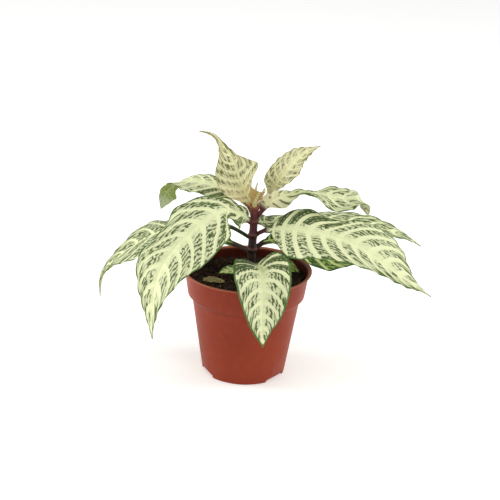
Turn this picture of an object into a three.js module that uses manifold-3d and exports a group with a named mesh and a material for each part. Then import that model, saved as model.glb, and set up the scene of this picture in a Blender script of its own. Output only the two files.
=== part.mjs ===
// A zebra plant (Aphelandra) in a thin plastic nursery pot, in millimetres, +Z up.
// The origin is the centre of the pot's underside, +X is the plant's widest direction, -Y its front.
import * as THREE from 'three';
import { mergeVertices } from 'three/addons/utils/BufferGeometryUtils.js';
import Module from 'manifold-3d';

const manifold = await Module();
manifold.setup();

// ---- driving dimensions -------------------------------------------------------------------

const POT_HEIGHT = 101;
const RIM_RADIUS = 60;
const LIP_HEIGHT = 2.4;
const BAND_TOP_RADIUS = 57.2;
const BAND_BOTTOM_RADIUS = 54.2;
const BAND_HEIGHT = 24;
const STEP_HEIGHT = 4.4;
const WALL_TOP_RADIUS = 50;
const BASE_RADIUS = 38.5;
const WALL_THICKNESS = 1.4;
const FLOOR_THICKNESS = 2;
const CORNER_FLOOR_RADIUS = 28;
const CORNER_HEIGHT = 11;
const POT_SEGMENTS = 48;

const FOOT_COUNT = 3;
const NOTCH_FIRST_ANGLE = 84;
const NOTCH_WIDTH = 26;
const NOTCH_HEIGHT = 7.5;
const NOTCH_INNER_RADIUS = 34;
const NOTCH_SLOPE = 7;
const DRAIN_WIDTH = 9;
const DRAIN_HEIGHT = 2;

const GAP = 0.3;

const SOIL_TOP = 91;
const SOIL_SEGMENTS = 40;
const SOIL_RINGS = 9;
const SOIL_MOUND = 1;
const SOIL_RISE = 3;
const SOIL_CRUMB = 1.1;
const SOIL_EDGE_GAP = 0.6;

const STEM_BOTTOM = [2.6, 0, 78];
const STEM_TOP = [4.8, 0, 165];
const STEM_BOTTOM_RADIUS = 4.6;
const STEM_TOP_RADIUS = 3.3;
const STEM_SIDES = 12;
const NODE_SWELL = 0.9;
const NODE_HEIGHTS = [96, 104, 120, 134, 147, 160];

const LEAF_THICKNESS = 0.8;
const PETIOLE_HALF_WIDTH = 2.1;
const PETIOLE_DEPTH = 3.4;
const TIP_HALF_WIDTH = 0.5;
const KEEL_HALF_WIDTH = 1.7;
const VEIN_SWEEP = 0.19;
const VEIN_ARCH = 1.8;
const VEIN_CROWDING = 1.18;
const QUILT = 0.5;
const MARGIN_WAVE_RATE = 19;
const MARGIN_WAVE_SHIFT = 1.7;
const BLADE_BEGINS = -0.12;
const BLADE_IS_FULL = 0.02;
const KEEL_NARROWING = 0.6;
const KEEL_LENGTH = 0.62;
const KEEL_TIP_DEPTH = 0.2;
const KEEL_SHOULDER = 0.55;
const PETIOLE_SHOULDER = 0.25;
const PATH_STEP = 0.002;

const CHIP_LENGTH = 20;
const CHIP_WIDTH = 11;
const CHIP_THICKNESS = 3;
const CHIP_SINK = 1.6;
const CHIP_PLACE = [-30, -18];
const CHIP_TURN = -6;
const CHIP_BLUNT_END = 2;

// ---- colours ------------------------------------------------------------------------------

const TERRACOTTA = '#a5543f';
const PEAT = '#2b1a14';
const CHIP = '#8a8058';
const STEM_PURPLE = '#45201f';
const CREAM = '#dfe6b4';
const YOUNG_CREAM = '#d8cf97';
const OLD_GREEN = '#a9bf7c';

// ---- the leaves ---------------------------------------------------------------------------
// path: petiole points, then midrib points from the blade's base to its tip.
// petiole: how many path points come before the blade.
// face: where the upper side looks, from the blade's base to its tip.
// left, right: half widths from base to tip, seen on the upper side with the tip ahead.
// fold: degrees by which each half is raised; curl: degrees by which it bends down again.
// wave: height of the margin's waves; veins: pairs of side veins.
// stalk: a small leaf's petiole and rib, as a share of a large one's.

const LEAVES = [
  {
    name: 'leaf_front', colour: CREAM, veins: 10, petiole: 2, wave: 0.8,
    path: [[3, 0, 100], [5, -6, 104], [9, -12, 108], [13, -32, 113], [14, -56, 115],
      [15, -71, 108], [15, -77, 92], [15, -79, 75], [17, -79, 57]],
    face: [[0, -5, 9], [0, -8, 6], [3, -9, 2], [4, -8, 2]],
    left: [4, 23, 27, 24, 20, 12, 0], right: [6, 23, 28, 25, 19, 10, 0],
    fold: [52, 21, 10], curl: [14, 17, 10],
  },
  {
    name: 'leaf_right_front', colour: CREAM, veins: 12, petiole: 2, wave: 1.1,
    path: [[3, 0, 131], [11, -3, 138], [20, -6, 142], [44, -16, 147], [71, -26, 146],
      [97, -36, 141], [122, -44, 127], [145, -50, 113], [165, -54, 102]],
    face: [[0, -7, 7], [1, -4, 9], [3, -3, 9], [5, 1, 8]],
    left: [5, 26, 22, 35, 36, 15, 0], right: [4, 32, 36, 29, 20, 11, 0],
    fold: [10, 14, 7], curl: [30, 23, 9],
  },
  {
    name: 'leaf_left_front', colour: CREAM, veins: 12, petiole: 1, wave: 1.0,
    path: [[3, 0, 144], [-1, -3, 150], [-8, -9, 157], [-25, -22, 163], [-47, -42, 153],
      [-65, -60, 139], [-77, -74, 120], [-81, -82, 93], [-81, -84, 63]],
    face: [[-1, -7, 6], [-1, -7, 6], [-3, -8, 5], [-6, -6, 5], [-9, -3, 3]],
    left: [4, 13, 12, 8, 25, 29, 32, 33, 31, 27, 16, 8, 0],
    right: [3, 8, 12, 16, 24, 29, 23, 23, 27, 23, 18, 9, 0],
    fold: [5, 12, 18], curl: [38, 28, 6],
  },
  {
    name: 'leaf_left_back', colour: CREAM, veins: 11, petiole: 2, wave: 0.8,
    path: [[3, 0, 131], [-9, 3, 137], [-21, 8, 140], [-45, 18, 139], [-72, 26, 128],
      [-99, 32, 112], [-122, 36, 93], [-137, 38, 73], [-140, 38, 51]],
    face: [[1, -1, 10], [-3, -1, 10], [-6, -1, 8], [-9, -1, 4]],
    left: [3, 18, 20, 35, 20, 13, 0], right: [3, 16, 16, 36, 15, 9, 0],
    fold: [5, 12, 18], curl: [30, 22, 5],
  },
  {
    name: 'leaf_right_back', colour: CREAM, veins: 10, petiole: 1, wave: 0.8,
    path: [[4, 0, 146], [9, 5, 145], [18, 13, 142], [40, 27, 141], [65, 38, 139],
      [90, 46, 135], [116, 54, 128], [142, 60, 119], [166, 64, 106]],
    face: [[0, -7, 6], [-1, 0, 9], [0, -3, 9], [3, -1, 9]],
    left: [3, 12, 18, 20, 17, 11, 0], right: [3, 11, 16, 24, 22, 9, 0],
    fold: [14, 5, 14], curl: [20, 22, 6],
  },
  {
    name: 'leaf_lower_right', colour: OLD_GREEN, veins: 9, petiole: 2, wave: 0.6,
    path: [[3, 0, 117], [9, 4, 122], [17, 9, 125], [34, 18, 123], [53, 26, 115],
      [75, 32, 109], [97, 34, 104], [113, 34, 99], [125, 32, 93]],
    face: [[-1, -4, 9], [0, -4, 9], [1, -1, 10], [5, 2, 8]],
    left: [3, 14, 20, 23, 19, 11, 0], right: [3, 15, 23, 27, 18, 9, 0],
    fold: [22, 5, 9], curl: [20, 22, 8],
  },
  {
    name: 'leaf_lower_left', colour: OLD_GREEN, veins: 7, petiole: 2, wave: 0.6,
    path: [[3, 0, 117], [-7, 4, 121], [-17, 10, 122], [-30, 22, 120], [-43, 34, 115],
      [-56, 44, 108], [-68, 52, 100], [-77, 57, 91], [-84, 60, 81]],
    face: [[0, -2, 10], [-1, -1, 10], [-3, 1, 9], [-5, 3, 8]],
    left: [3, 11, 16, 18, 15, 8, 0], right: [3, 11, 16, 18, 15, 8, 0],
    fold: [20, 8, 6], curl: [20, 22, 10],
  },
  {
    name: 'leaf_upper_left', colour: CREAM, veins: 10, petiole: 2, wave: 0.8,
    path: [[4, 0, 148], [1, 4, 157], [-5, 9, 163], [-20, 17, 169], [-38, 23, 173],
      [-56, 27, 174], [-69, 28, 171], [-78, 25, 163], [-82, 20, 148]],
    face: [[1, -3, 9], [0, -2, 10], [-1, 0, 10], [-5, 5, 7], [-7, 7, -1]],
    left: [3, 14, 20, 22, 18, 12, 0], right: [3, 14, 18, 29, 21, 20, 0],
    fold: [20, 7, 7], curl: [20, 26, 20],
  },
  {
    name: 'leaf_upper_right', colour: CREAM, veins: 10, petiole: 2, wave: 1.1,
    path: [[4, 0, 148], [9.5, -1, 155.5], [15.5, 0, 163], [25, 3, 169], [37, 7, 172],
      [51, 11, 173], [68, 13, 171], [86, 15, 168], [101, 16, 167], [110, 16, 151]],
    face: [[1, -9, 5], [0, -8, 6], [0, -1, 10], [0, 1, 10], [0, -5, 9], [3, -1, 9], [5, 9, 1]],
    left: [9, 7.5, 6.5, 10, 17, 12, 12, 0], right: [3, 11, 10, 4, 19, 16, 13, 0],
    fold: [22, 6, 8], curl: [10, 24, 12],
  },
  {
    name: 'leaf_crown_left', colour: YOUNG_CREAM, veins: 11, petiole: 1, wave: 0.5,
    path: [[4, 1, 158], [0, 4, 165], [-6, 8, 176], [-12, 14, 188], [-18, 20, 200],
      [-27, 26, 210], [-36, 31, 218], [-49, 36, 220]],
    face: [[-2, -9, 0], [0, -10, 2], [8, -4, 5], [5, -1, 8]],
    left: [5, 19, 21, 17, 8, 4, 0], right: [5, 10, 21, 8, 4, 3, 0],
    fold: [45, 10, 14], curl: [-10, 18, 8],
  },
  {
    name: 'leaf_crown_right', colour: YOUNG_CREAM, veins: 9, petiole: 2, wave: 0.6,
    path: [[4.5, 0, 158], [13, 9, 165.5], [21, 16.5, 172.7], [26, 17, 182], [32, 16, 192],
      [40, 18, 200.5], [49, 20, 208], [62, 24, 214]],
    face: [[-5, -7, 4], [-6, -6, 5], [-6, -4, 7], [-6, -2, 8]],
    left: [11, 14, 15, 17, 10, 0], right: [8, 13, 17, 15, 9, 0],
    fold: [42, 14, 14], curl: [2, 19, 8],
  },
  {
    name: 'leaf_centre_rolled', colour: YOUNG_CREAM, veins: 4, petiole: 1, wave: 0, quilt: 0,
    stalk: 0.6,
    path: [[4.8, -1, 160], [4.4, -4.9, 164.5], [4.9, -8.6, 169], [6.3, -10.8, 174],
      [8.4, -11.4, 179.5]],
    face: [[0, 9, 4], [-1, 9, 3], [-2, 9, 2]],
    left: [4, 11, 14, 15], right: [4, 10, 12.5, 14],
    fold: [20, 8, 2], curl: [-60, -105, -110],
  },
  {
    name: 'leaf_centre_bud', colour: YOUNG_CREAM, veins: 4, petiole: 1, wave: 0, quilt: 0, stalk: 0.5,
    path: [[5.5, 1, 162], [5.6, 1.5, 167], [5.2, 2, 172], [5, 2.5, 178], [6.4, 3, 183]],
    face: [[2, -9, 3], [2, -9, 4], [2, -9, 5]],
    left: [1, 1.2, 0.8, 0], right: [1, 1.2, 0.8, 0],
    fold: [0, 0, 0], curl: [0, 0, 0],
  },
  {
    name: 'leaf_small_left', colour: OLD_GREEN, veins: 5, petiole: 1, wave: 0, quilt: 0.2,
    stalk: 0.6,
    path: [[3, 0, 95], [-3, -2, 98], [-11, -7, 101], [-19, -12, 102], [-26, -16, 101]],
    face: [[0, -3, 10], [0, -4, 9], [-1, -4, 9]],
    left: [2, 6, 5, 0], right: [2, 6, 5, 0],
    fold: [25, 15, 10], curl: [10, 14, 10],
  },
  {
    name: 'leaf_small_right', colour: OLD_GREEN, veins: 5, petiole: 1, wave: 0, quilt: 0.2,
    stalk: 0.6,
    path: [[3, 0, 95], [11, 3, 100], [22, 7, 104], [33, 10, 103], [42, 11, 99], [49, 12, 94]],
    face: [[0, -3, 10], [1, -4, 9], [3, -5, 8]],
    left: [2, 7, 10, 6, 0], right: [2, 7, 10, 6, 0],
    fold: [22, 12, 8], curl: [12, 16, 10],
  },
];

// ---- small helpers ------------------------------------------------------------------------

const radians = THREE.MathUtils.degToRad;
const vector = (p) => new THREE.Vector3(...p);
const mix = THREE.MathUtils.lerp;

// Solids for joining and cutting, and back again.
function toSolid(geometry) {
  const bare = geometry.clone();
  for (const attribute of Object.keys(bare.attributes)) {
    if (attribute !== 'position') bare.deleteAttribute(attribute);
  }
  const merged = mergeVertices(bare, 1e-4);
  return new manifold.Manifold(new manifold.Mesh({
    numProp: 3,
    vertProperties: new Float32Array(merged.attributes.position.array),
    triVerts: new Uint32Array(merged.index.array),
  }));
}

function toGeometry(solid) {
  const mesh = solid.getMesh();
  const geometry = new THREE.BufferGeometry();
  geometry.setAttribute('position', new THREE.BufferAttribute(mesh.vertProperties, 3));
  geometry.setIndex(new THREE.BufferAttribute(mesh.triVerts, 1));
  geometry.computeVertexNormals();
  return geometry;
}

// What is left of a leaf beside the stem is one body: any loose scrap of the cut is dropped.
function largestBody(solid) {
  const bodies = solid.decompose();
  return bodies.reduce((best, body) => (body.volume() > best.volume() ? body : best));
}

// A smooth curve through values spaced evenly over 0..1, for numbers and for points.
function along(values, t) {
  const last = values.length - 1;
  const x = THREE.MathUtils.clamp(t, 0, 1) * last;
  const i = Math.min(Math.floor(x), last - 1);
  const f = x - i;
  const blend = (p) => {
    const b = p(i);
    const c = p(i + 1);
    const a = i > 0 ? p(i - 1) : 2 * b - c;
    const d = i + 2 <= last ? p(i + 2) : 2 * c - b;
    const square = 2 * a - 5 * b + 4 * c - d;
    const cube = 3 * b - a - 3 * c + d;
    return 0.5 * (2 * b + (c - a) * f + square * f * f + cube * f * f * f);
  };
  if (typeof values[0] === 'number') return blend((k) => values[k]);
  return new THREE.Vector3(...[0, 1, 2].map((axis) => blend((k) => values[k][axis])));
}

// Rings of equally many points become one closed skin, capped at its two ends.
// flip(k) chooses the diagonal of the face between ring points k and k + 1.
function skin(rings, flip) {
  const count = rings[0].length;
  const positions = rings.flat().flatMap((p) => [p.x, p.y, p.z]);
  const index = [];
  for (let r = 0; r + 1 < rings.length; r += 1) {
    for (let k = 0; k < count; k += 1) {
      const a = r * count + k;
      const b = r * count + ((k + 1) % count);
      const c = a + count;
      const d = b + count;
      if (flip(k)) index.push(a, b, c, b, d, c);
      else index.push(a, b, d, a, d, c);
    }
  }
  // Each end is closed by a strip between the two halves of its ring, so that an end that is
  // rolled up stays open in its middle.
  for (const turned of [true, false]) {
    const start = turned ? 0 : (rings.length - 1) * count;
    for (let k = 0; k < count / 2 - 1; k += 1) {
      const a = start + k;
      const b = start + k + 1;
      const c = start + count - 2 - k;
      const d = start + count - 1 - k;
      if (turned) index.push(a, c, b, a, d, c);
      else index.push(a, b, c, a, c, d);
    }
  }
  const geometry = new THREE.BufferGeometry();
  geometry.setAttribute('position', new THREE.Float32BufferAttribute(positions, 3));
  geometry.setIndex(index);
  return geometry;
}

// ---- pot ----------------------------------------------------------------------------------

const wallBottom = POT_HEIGHT - BAND_HEIGHT - STEP_HEIGHT;
const bandBottom = POT_HEIGHT - BAND_HEIGHT;
const lipBottom = POT_HEIGHT - LIP_HEIGHT;
const wallSlope = (WALL_TOP_RADIUS - BASE_RADIUS) / wallBottom;

// The cavity's side, from the floor up to the lip, moved inwards by a clearance.
function innerProfile(clearance) {
  const inset = WALL_THICKNESS + clearance;
  return [
    [CORNER_FLOOR_RADIUS - clearance, FLOOR_THICKNESS + clearance],
    [BASE_RADIUS + wallSlope * CORNER_HEIGHT - inset, CORNER_HEIGHT + clearance],
    [WALL_TOP_RADIUS - inset, wallBottom + clearance],
    [BAND_BOTTOM_RADIUS - inset, bandBottom + clearance],
    [BAND_TOP_RADIUS - inset, lipBottom],
  ];
}

function makePot() {
  const outer = [
    [0, 0],
    [BASE_RADIUS - 1, 0],
    [BASE_RADIUS, 0.8],
    [WALL_TOP_RADIUS, wallBottom],
    [BAND_BOTTOM_RADIUS - 0.8, bandBottom - 0.8],
    [BAND_BOTTOM_RADIUS, bandBottom],
    [BAND_TOP_RADIUS, lipBottom],
    [RIM_RADIUS - 0.4, POT_HEIGHT - 1.2],
    [RIM_RADIUS, POT_HEIGHT - 0.5],
    [RIM_RADIUS - 0.5, POT_HEIGHT],
    [RIM_RADIUS - 1.4, POT_HEIGHT - 0.1],
  ];
  const inner = innerProfile(0).reverse();
  const profile = [...outer, ...inner, [0, FLOOR_THICKNESS]].map(([r, z]) => new THREE.Vector2(r, z));
  const body = new THREE.LatheGeometry(profile, POT_SEGMENTS).rotateX(Math.PI / 2);
  let pot = toSolid(body);
  // Three slanted notches round the bottom edge, each with a drain slot, leave three feet.
  const section = new THREE.Shape([
    new THREE.Vector2(NOTCH_INNER_RADIUS, -1),
    new THREE.Vector2(RIM_RADIUS, -1),
    new THREE.Vector2(RIM_RADIUS, NOTCH_HEIGHT),
    new THREE.Vector2(NOTCH_INNER_RADIUS + NOTCH_SLOPE, NOTCH_HEIGHT),
    new THREE.Vector2(NOTCH_INNER_RADIUS, 0),
  ]);
  const drainLength = NOTCH_INNER_RADIUS + NOTCH_SLOPE - CORNER_FLOOR_RADIUS;
  for (let n = 0; n < FOOT_COUNT; n += 1) {
    const turn = radians(NOTCH_FIRST_ANGLE + (360 / FOOT_COUNT) * n);
    const notch = new THREE.ExtrudeGeometry(section, { depth: NOTCH_WIDTH, bevelEnabled: false });
    notch.rotateX(Math.PI / 2).translate(0, NOTCH_WIDTH / 2, 0);
    pot = pot.subtract(toSolid(notch.rotateZ(turn)));
    const drain = new THREE.BoxGeometry(drainLength, DRAIN_WIDTH, DRAIN_HEIGHT);
    drain.translate(CORNER_FLOOR_RADIUS + drainLength / 2, 0, FLOOR_THICKNESS + DRAIN_HEIGHT / 2);
    pot = pot.subtract(toSolid(drain.rotateZ(turn)));
  }
  return pot;
}

// ---- soil ---------------------------------------------------------------------------------

// Crumbly peat, a little higher at the pot's sides than round the stem.
function soilHeight(x, y) {
  const mound = SOIL_MOUND * Math.sin(x * 0.09 + 0.6) * Math.cos(y * 0.1 - 0.4);
  const rise = SOIL_RISE * (x / RIM_RADIUS) ** 2;
  const crumbs = Math.sin(x * 0.61 + y * 0.23) * Math.cos(y * 0.53 - x * 0.17 + 1.3);
  return SOIL_TOP + mound + rise + SOIL_CRUMB * crumbs;
}

function makeSoil() {
  const side = innerProfile(GAP);
  const [topRadius, topHeight] = side[4];
  const [bandRadius, bandHeight] = side[3];
  const edgeShare = (SOIL_TOP - bandHeight) / (topHeight - bandHeight);
  const edgeRadius = mix(bandRadius, topRadius, edgeShare) - SOIL_EDGE_GAP;
  const ring = (radius, height) => Array.from({ length: SOIL_SEGMENTS }, (_, k) => {
    const angle = (2 * Math.PI * k) / SOIL_SEGMENTS;
    const x = radius * Math.cos(angle);
    const y = radius * Math.sin(angle);
    return new THREE.Vector3(x, y, height === undefined ? soilHeight(x, y) : height);
  });
  const rings = side.slice(0, 4).map(([radius, height]) => ring(radius, height));
  for (let n = 0; n < SOIL_RINGS; n += 1) rings.push(ring(edgeRadius * (1 - n / SOIL_RINGS)));
  return toSolid(skin(rings, () => false));
}

// ---- stem ---------------------------------------------------------------------------------

// The stem tapers upwards, leans a little and swells where the leaf pairs stand.
function makeStem(growth) {
  const heights = [STEM_BOTTOM[2] - growth];
  for (const node of NODE_HEIGHTS) heights.push(node - 3, node, node + 3);
  heights.push(STEM_TOP[2] + growth);
  const rings = heights.map((z) => {
    const t = (z - STEM_BOTTOM[2]) / (STEM_TOP[2] - STEM_BOTTOM[2]);
    const swell = NODE_HEIGHTS.includes(z) ? NODE_SWELL : 0;
    const radius = mix(STEM_BOTTOM_RADIUS, STEM_TOP_RADIUS, t) + swell + growth;
    const x = mix(STEM_BOTTOM[0], STEM_TOP[0], t);
    return Array.from({ length: STEM_SIDES }, (_, k) => {
      const angle = (2 * Math.PI * k) / STEM_SIDES;
      return new THREE.Vector3(x + radius * Math.cos(angle), radius * Math.sin(angle), z);
    });
  });
  return toSolid(skin(rings, () => false));
}

// ---- leaves -------------------------------------------------------------------------------

// How far across the blade the columns stand, as shares of the half width.
const COLUMNS = [-4, -3, -2, -1, 0, 1, 2, 3, 4];
const COLUMN_SHARES = [0, 0, 0.34, 0.7, 1];

// One row across a leaf. s runs over the whole path, 0 at the stem and 1 at the tip, and row
// counts the blade's rows, two to each pair of side veins, closer together near the base.
function leafRow(leaf, s, row) {
  const stalk = leaf.stalk ?? 1;
  const spans = leaf.path.length - 1;
  const start = leaf.petiole / spans;
  const bladeAt = (share) => (share - start) / (1 - start);
  const rowBlade = bladeAt(s);
  const ring = { top: [], bottom: [] };
  for (const column of COLUMNS) {
    const level = Math.abs(column);
    const side = Math.sign(column);
    const nearBlade = Math.max(rowBlade, 0);
    const keelHalf = KEEL_HALF_WIDTH * stalk * (1 - KEEL_NARROWING * nearBlade);
    const widths = column < 0 ? leaf.left : leaf.right;
    const roughHalf = Math.max(along(widths, nearBlade), TIP_HALF_WIDTH);
    const inner = level === 0 ? 0 : Math.min(keelHalf / roughHalf, 0.5);
    const u = level === 0 ? 0 : mix(inner, 1, COLUMN_SHARES[level]);

    const sweep = VEIN_SWEEP * 4 * nearBlade * (1 - nearBlade) * u ** VEIN_ARCH;
    const place = Math.min(s + sweep * (1 - start), 1);
    const blade = bladeAt(place);
    const onBlade = THREE.MathUtils.smoothstep(blade, BLADE_BEGINS, BLADE_IS_FULL);
    const t = Math.max(blade, 0);
    const half = mix(PETIOLE_HALF_WIDTH * stalk, Math.max(along(widths, t), TIP_HALF_WIDTH), onBlade);

    const ahead = along(leaf.path, Math.min(place + PATH_STEP, 1));
    const tangent = ahead.sub(along(leaf.path, Math.max(place - PATH_STEP, 0))).normalize();
    const face = along(leaf.face, t);
    const normal = face.addScaledVector(tangent, -face.dot(tangent)).normalize();
    const across = new THREE.Vector3().crossVectors(tangent, normal).multiplyScalar(side || 1);

    // Each half follows an arc that starts raised by fold and bends down by curl.
    const fold = radians(along(leaf.fold, t));
    const bend = radians(along(leaf.curl, t));
    const curl = Math.abs(bend) < 1e-3 ? 1e-3 : bend;
    const out = (Math.sin(fold) - Math.sin(fold - curl * u)) / curl;
    const up = (Math.cos(fold - curl * u) - Math.cos(fold)) / curl;
    const slope = fold - curl * u;
    const skinward = normal.clone().multiplyScalar(Math.cos(slope));
    skinward.addScaledVector(across, -Math.sin(slope) * (level === 0 ? 0 : 1)).normalize();

    // Puffed between the side veins, and waved along the margin.
    const quilt = (row % 2 === 0 ? 1 : -1) * (leaf.quilt ?? QUILT) * Math.min(level / 2, 1);
    const tail = Math.sin(Math.PI * THREE.MathUtils.clamp(blade, 0, 1));
    const wavePhase = blade * MARGIN_WAVE_RATE + (side > 0 ? MARGIN_WAVE_SHIFT : 0);
    const ripple = Math.sin(wavePhase) * leaf.wave * u ** 3;
    const lift = blade > 0 ? (quilt + ripple) * Math.min(1, 2 * tail) : 0;

    const point = along(leaf.path, place);
    point.addScaledVector(across, half * out).addScaledVector(normal, half * up);
    point.addScaledVector(skinward, lift);
    const stalkDepth = PETIOLE_DEPTH * stalk - LEAF_THICKNESS;
    const keelDepth = level < 2 ? mix(stalkDepth, KEEL_TIP_DEPTH, Math.min(t / KEEL_LENGTH, 1)) : 0;
    const petioleDepth = stalkDepth * (1 - PETIOLE_SHOULDER * level);
    const bladeDepth = keelDepth * (level === 0 ? 1 : KEEL_SHOULDER);
    const depth = mix(Math.max(petioleDepth, 0), bladeDepth, onBlade);
    ring.top.push(point.clone().addScaledVector(skinward, LEAF_THICKNESS / 2));
    ring.bottom.unshift(point.clone().addScaledVector(skinward, -LEAF_THICKNESS / 2 - depth));
  }
  return [...ring.top, ...ring.bottom];
}

function makeLeaf(leaf) {
  const spans = leaf.path.length - 1;
  const start = leaf.petiole / spans;
  const rings = [];
  const petioleRows = leaf.petiole * 2;
  for (let n = 0; n < petioleRows; n += 1) rings.push(leafRow(leaf, (start * n) / petioleRows, 0));
  const rows = leaf.veins * 2;
  for (let n = 0; n <= rows; n += 1) {
    rings.push(leafRow(leaf, start + (1 - start) * (n / rows) ** VEIN_CROWDING, n));
  }
  const width = COLUMNS.length;
  // The diagonals lean the way the side veins do, and alike on the upper and the under side.
  const flip = (k) => {
    if (k < width - 1) return k >= (width - 1) / 2;
    return k - width >= (width - 1) / 2;
  };
  return toSolid(skin(rings, flip));
}

// ---- a dry chip lying on the soil ---------------------------------------------------------

function highestCrumb() {
  let highest = 0;
  for (let x = -CHIP_LENGTH / 2; x <= CHIP_LENGTH / 2; x += 1) {
    for (let y = -CHIP_WIDTH / 2; y <= CHIP_WIDTH / 2; y += 1) {
      highest = Math.max(highest, soilHeight(CHIP_PLACE[0] + x, CHIP_PLACE[1] + y));
    }
  }
  return highest;
}

// The chip lies among the crumbs, so its underside takes their shape.
function makeChip(soil) {
  const outline = new THREE.Shape();
  outline.moveTo(-CHIP_LENGTH / 2, -0.5);
  outline.quadraticCurveTo(-CHIP_BLUNT_END, -CHIP_WIDTH / 2, CHIP_LENGTH / 2, -CHIP_BLUNT_END);
  outline.lineTo(CHIP_LENGTH / 2 - CHIP_BLUNT_END, CHIP_BLUNT_END);
  outline.quadraticCurveTo(0, CHIP_WIDTH / 2, -CHIP_LENGTH / 2, 1);
  outline.closePath();
  const chip = new THREE.ExtrudeGeometry(outline, {
    depth: CHIP_THICKNESS, bevelEnabled: false, curveSegments: 6,
  });
  chip.rotateZ(radians(CHIP_TURN));
  chip.translate(CHIP_PLACE[0], CHIP_PLACE[1], highestCrumb() - CHIP_SINK);
  return toSolid(chip).subtract(soil.translate(0, 0, GAP));
}

// ---- assembly -----------------------------------------------------------------------------

const group = new THREE.Group();

function add(name, solid, colour, roughness) {
  const material = new THREE.MeshStandardMaterial({ color: colour, roughness, metalness: 0 });
  const mesh = new THREE.Mesh(toGeometry(solid), material);
  mesh.name = name;
  group.add(mesh);
}

const grownStem = makeStem(GAP);
const soil = makeSoil().subtract(grownStem);

add('pot', makePot(), TERRACOTTA, 0.45);
add('soil', soil, PEAT, 0.95);
add('stem', makeStem(0), STEM_PURPLE, 0.5);
for (const leaf of LEAVES) {
  add(leaf.name, largestBody(makeLeaf(leaf).subtract(grownStem)), leaf.colour, 0.45);
}
add('dry_chip', largestBody(makeChip(soil)), CHIP, 0.9);

export default group;
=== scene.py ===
import math
import random

import bmesh
import bpy
import numpy as np
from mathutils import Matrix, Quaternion, Vector, noise


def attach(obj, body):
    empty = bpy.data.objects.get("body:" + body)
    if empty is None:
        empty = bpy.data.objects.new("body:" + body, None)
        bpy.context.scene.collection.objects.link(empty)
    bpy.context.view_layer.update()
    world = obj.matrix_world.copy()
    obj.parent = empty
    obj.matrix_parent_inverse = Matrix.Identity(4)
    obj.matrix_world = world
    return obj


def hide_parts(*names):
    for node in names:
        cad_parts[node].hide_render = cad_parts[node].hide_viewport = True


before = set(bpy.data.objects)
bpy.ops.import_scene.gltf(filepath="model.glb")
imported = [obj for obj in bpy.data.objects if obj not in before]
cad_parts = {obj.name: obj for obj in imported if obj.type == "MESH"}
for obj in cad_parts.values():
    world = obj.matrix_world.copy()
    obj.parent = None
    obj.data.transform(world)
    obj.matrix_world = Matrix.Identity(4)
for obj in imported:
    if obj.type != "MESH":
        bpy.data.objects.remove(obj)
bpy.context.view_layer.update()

MM = 0.001

# ---- camera and light ---------------------------------------------------------------------

CAMERA_AIM = Vector((0.0019, 0.0, 0.1189))
CAMERA_ELEVATION = math.radians(20.75)
CAMERA_DISTANCE = 1.4
CAMERA_ROLL = math.radians(2.4)
CAMERA_LENS = 109.67
WORLD_STRENGTH = 0.6
# Each light's place and size in metres, and its power in watts.
SOFTBOXES = {
    "softbox_top": ((-0.25, -0.5, 1.6), (1.2, 1.2), 6.0),
    "softbox_left": ((-1.3, 0.1, 0.7), (0.6, 1.2), 10.5),
    "softbox_right": ((1.3, 0.1, 0.7), (0.6, 1.2), 10.5),
}


def make_camera():
    back = Vector((0.0, -math.cos(CAMERA_ELEVATION), math.sin(CAMERA_ELEVATION)))
    camera = bpy.data.objects.new("camera", bpy.data.cameras.new("camera"))
    camera.data.sensor_width = 36.0
    camera.data.lens = CAMERA_LENS
    camera.data.clip_start, camera.data.clip_end = 0.05, 50.0
    camera.location = CAMERA_AIM + back * CAMERA_DISTANCE
    camera.rotation_mode = "QUATERNION"
    roll = Quaternion((0.0, 0.0, 1.0), CAMERA_ROLL)
    camera.rotation_quaternion = (-back).to_track_quat("-Z", "Y") @ roll
    bpy.context.collection.objects.link(camera)
    bpy.context.scene.camera = camera


def make_softbox(name, place, size, power):
    lamp = bpy.data.lights.new(name, "AREA")
    lamp.shape = "RECTANGLE"
    lamp.size, lamp.size_y = size
    lamp.energy = power
    softbox = bpy.data.objects.new(name, lamp)
    softbox.location = place
    softbox.rotation_mode = "QUATERNION"
    softbox.rotation_quaternion = (CAMERA_AIM - Vector(place)).to_track_quat("-Z", "Y")
    bpy.context.collection.objects.link(softbox)


def make_light():
    world = bpy.data.worlds.new("studio")
    world.use_nodes = True
    background = next(n for n in world.node_tree.nodes if n.type == "BACKGROUND")
    background.inputs["Color"].default_value = (1.0, 1.0, 1.0, 1.0)
    background.inputs["Strength"].default_value = WORLD_STRENGTH
    bpy.context.scene.world = world
    bpy.context.scene.view_settings.view_transform = "Standard"
    for name, (place, size, power) in SOFTBOXES.items():
        make_softbox(name, place, size, power)


# ---- material nodes -----------------------------------------------------------------------


def linear(code):
    """A colour written as #rrggbb, in the linear numbers that a shader takes."""
    parts = [int(code[i:i + 2], 16) / 255 for i in (1, 3, 5)]
    return [*(c / 12.92 if c <= 0.04045 else ((c + 0.055) / 1.055) ** 2.4 for c in parts), 1.0]


class Signal:
    """A value that runs through a material's nodes, for use in sums like a number."""

    def __init__(self, look, socket):
        self.look = look
        self.socket = socket

    def __add__(self, other):
        return self.look.math("ADD", self, other)

    def __sub__(self, other):
        return self.look.math("SUBTRACT", self, other)

    def __rsub__(self, other):
        return self.look.math("SUBTRACT", other, self)

    def __mul__(self, other):
        return self.look.math("MULTIPLY", self, other)

    def __abs__(self):
        return self.look.math("ABSOLUTE", self)

    __radd__ = __add__
    __rmul__ = __mul__


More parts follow.
